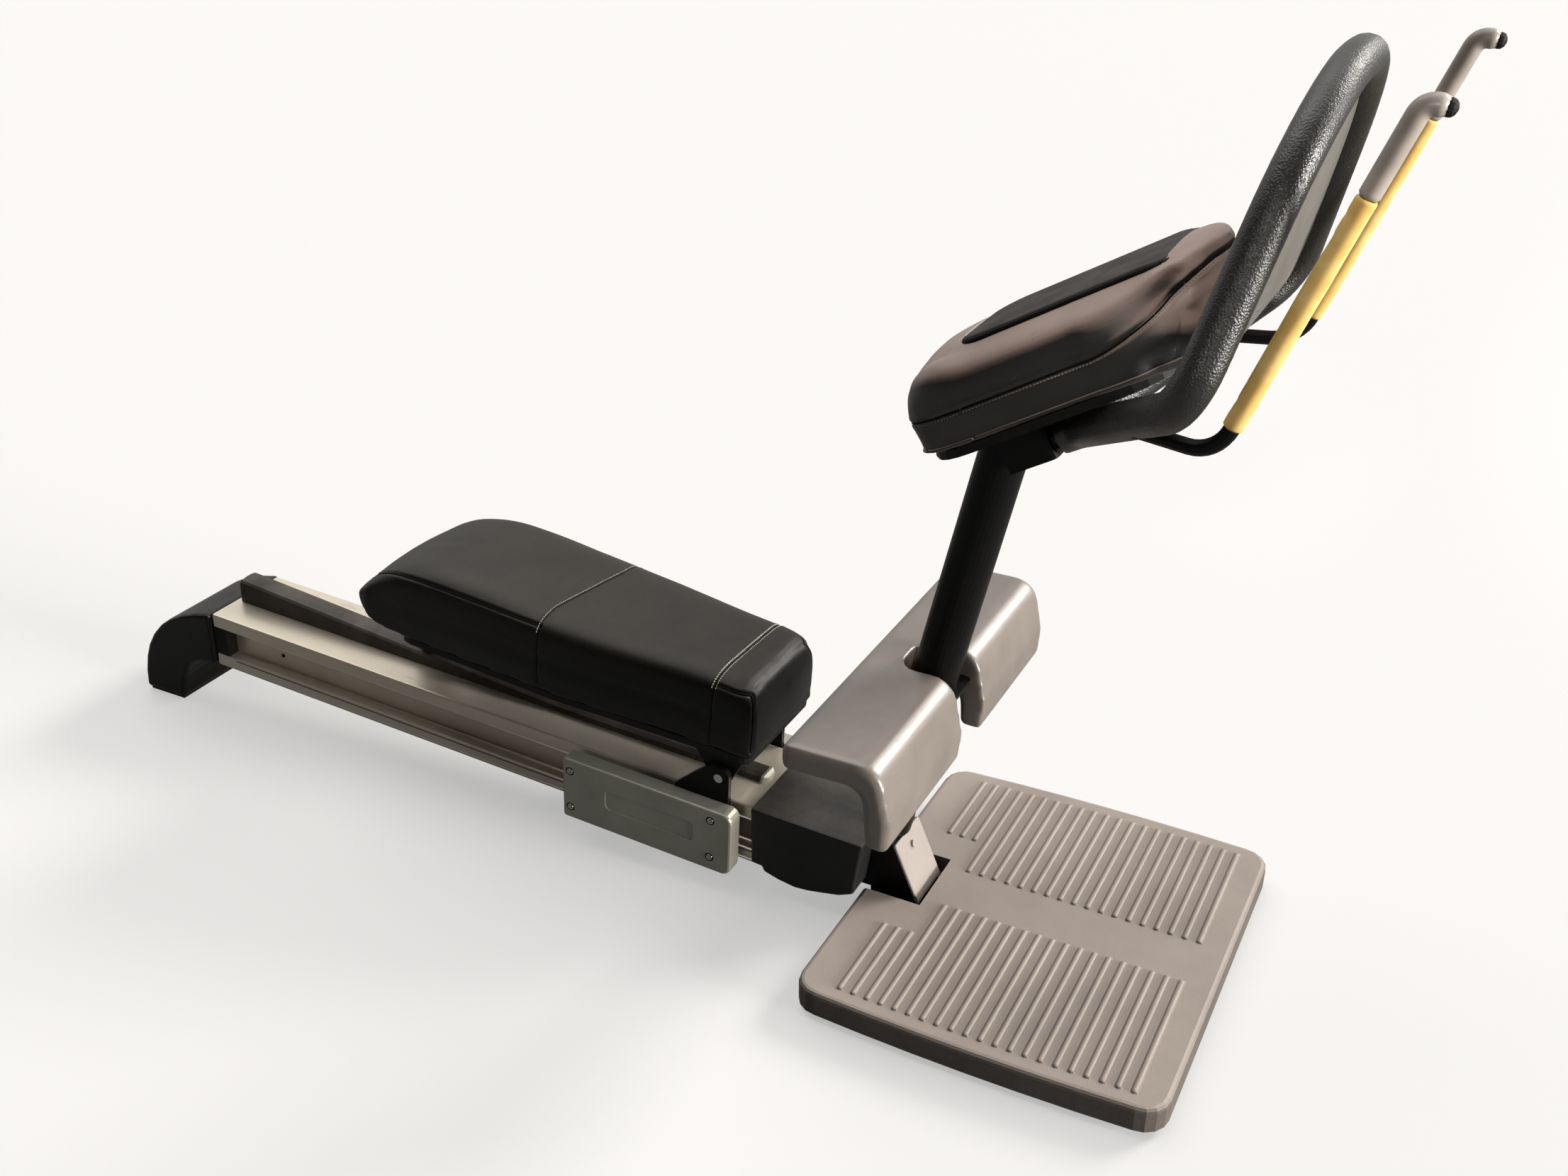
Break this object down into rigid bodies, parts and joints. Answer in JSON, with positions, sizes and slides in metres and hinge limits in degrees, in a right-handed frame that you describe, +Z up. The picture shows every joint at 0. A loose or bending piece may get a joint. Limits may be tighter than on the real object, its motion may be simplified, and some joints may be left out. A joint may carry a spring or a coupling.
{
  "type": "stretching machine",
  "caption": "Seated stretching machine: a tilting seat rolls on an inclined rail before a padded column with a foam loop, handles and a ribbed footplate.",
  "frame": {"origin": "on the floor under the middle of the machine's bounding box", "axes": "+X forward, from the rear foot towards the footplate; +Y towards the machine's left, seen from the seat facing the column; +Z up"},
  "size_m": [2.2538, 0.664, 1.3955],
  "materials": {
    "satin_black_steel": "satin black paint",
    "satin_black_cover": "satin black moulding",
    "aluminium": "brushed and anodised",
    "bright_steel": "bright plated",
    "black_upholstery": "fine-grained black upholstery, satin",
    "board": "black-painted plywood",
    "grey_moulded_pad": "warm grey moulded foam skin",
    "grey_moulded_plate": "warm grey moulding, finely speckled",
    "black_rubber": "matt black",
    "black_foam": "matt speckled foam sleeve",
    "mustard_grip": "matt mustard"
  },
  "bodies": {
    "machine_frame": {"base_frame": "satin_black_steel", "chest_board": "board", "chest_inlay": "black_upholstery", "chest_pad": "black_upholstery", "column": "satin_black_steel", "column_head": "satin_black_steel", "footplate": "grey_moulded_plate", "footplate_foot_1": "black_rubber", "footplate_foot_2": "black_rubber", "footplate_foot_3": "black_rubber", "footplate_foot_4": "black_rubber", "front_housing": "satin_black_cover", "handle_cap_left": "black_rubber", "handle_cap_right": "black_rubber", "handle_grip_left": "mustard_grip", "handle_grip_right": "mustard_grip", "handle_sleeve_left": "black_foam", "handle_sleeve_right": "black_foam", "handle_tube_left": "satin_black_steel", "handle_tube_right": "satin_black_steel", "loop_foam": "black_foam", "loop_panel": "grey_moulded_plate", "loop_tube": "satin_black_steel", "pedestal_bolt": "satin_black_steel", "pedestal_plate": "aluminium", "rail": "aluminium", "rail_plug_left": "black_rubber", "rail_plug_right": "black_rubber", "ramp_end_cap": "bright_steel", "ramp_strip": "satin_black_cover", "rear_foot": "satin_black_cover", "rear_foot_pad": "black_rubber", "shin_bracket": "bright_steel", "shin_pad": "grey_moulded_pad"},
    "carriage": {"carriage_axle_front_left": "bright_steel", "carriage_axle_front_right": "bright_steel", "carriage_axle_rear_left": "bright_steel", "carriage_axle_rear_right": "bright_steel", "carriage_cross_plate": "satin_black_steel", "carriage_ear_left": "satin_black_steel", "carriage_ear_right": "satin_black_steel", "carriage_plate_left": "aluminium", "carriage_plate_right": "aluminium", "pivot_pin": "bright_steel"},
    "seat": {"seat_board": "board", "seat_fork": "satin_black_steel", "seat_lug_left": "satin_black_steel", "seat_lug_right": "satin_black_steel", "seat_pad": "black_upholstery", "seat_roller_axle": "bright_steel", "seat_tab": "mustard_grip"},
    "seat_wheel": {"seat_roller": "black_rubber"},
    "wheel_front_left": {"carriage_roller_front_left": "black_rubber"},
    "wheel_front_right": {"carriage_roller_front_right": "black_rubber"},
    "wheel_rear_left": {"carriage_roller_rear_left": "black_rubber"},
    "wheel_rear_right": {"carriage_roller_rear_right": "black_rubber"}
  },
  "joints": [
    {"name": "carriage_slide", "type": "slide", "parent": "machine_frame", "child": "carriage", "axis": [-0.9986, 0, 0.0521], "range_m": [0, 0.4]},
    {"name": "seat_tilt", "type": "hinge", "parent": "carriage", "child": "seat", "pos_m": [0.19922, 0, 0.205], "axis": [0, 1, 0], "range_deg": [0, 1.9]},
    {"name": "seat_wheel_spin", "type": "hinge", "parent": "seat", "child": "seat_wheel", "pos_m": [-0.45639, 0, 0.25074], "axis": [0, -1, 0], "range_deg": [0, 820]},
    {"name": "wheel_front_left_spin", "type": "hinge", "parent": "carriage", "child": "wheel_front_left", "pos_m": [0.14342, 0.074, 0.10931], "axis": [0, -1, 0], "range_deg": [0, 786]},
    {"name": "wheel_front_right_spin", "type": "hinge", "parent": "carriage", "child": "wheel_front_right", "pos_m": [0.14342, -0.074, 0.10931], "axis": [0, -1, 0], "range_deg": [0, 786]},
    {"name": "wheel_rear_left_spin", "type": "hinge", "parent": "carriage", "child": "wheel_rear_left", "pos_m": [-0.00638, 0.074, 0.11713], "axis": [0, -1, 0], "range_deg": [0, 786]},
    {"name": "wheel_rear_right_spin", "type": "hinge", "parent": "carriage", "child": "wheel_rear_right", "pos_m": [-0.00638, -0.074, 0.11713], "axis": [0, -1, 0], "range_deg": [0, 786]}
  ],
  "couplings": [
    {"joint": "seat_tilt", "follows": "carriage_slide", "rad_per_m": 0.0819},
    {"joint": "seat_wheel_spin", "follows": "carriage_slide", "rad_per_m": 35.7},
    {"joint": "wheel_front_left_spin", "follows": "carriage_slide", "rad_per_m": 34.25},
    {"joint": "wheel_front_right_spin", "follows": "carriage_slide", "rad_per_m": 34.25},
    {"joint": "wheel_rear_left_spin", "follows": "carriage_slide", "rad_per_m": 34.25},
    {"joint": "wheel_rear_right_spin", "follows": "carriage_slide", "rad_per_m": 34.25}
  ]
}
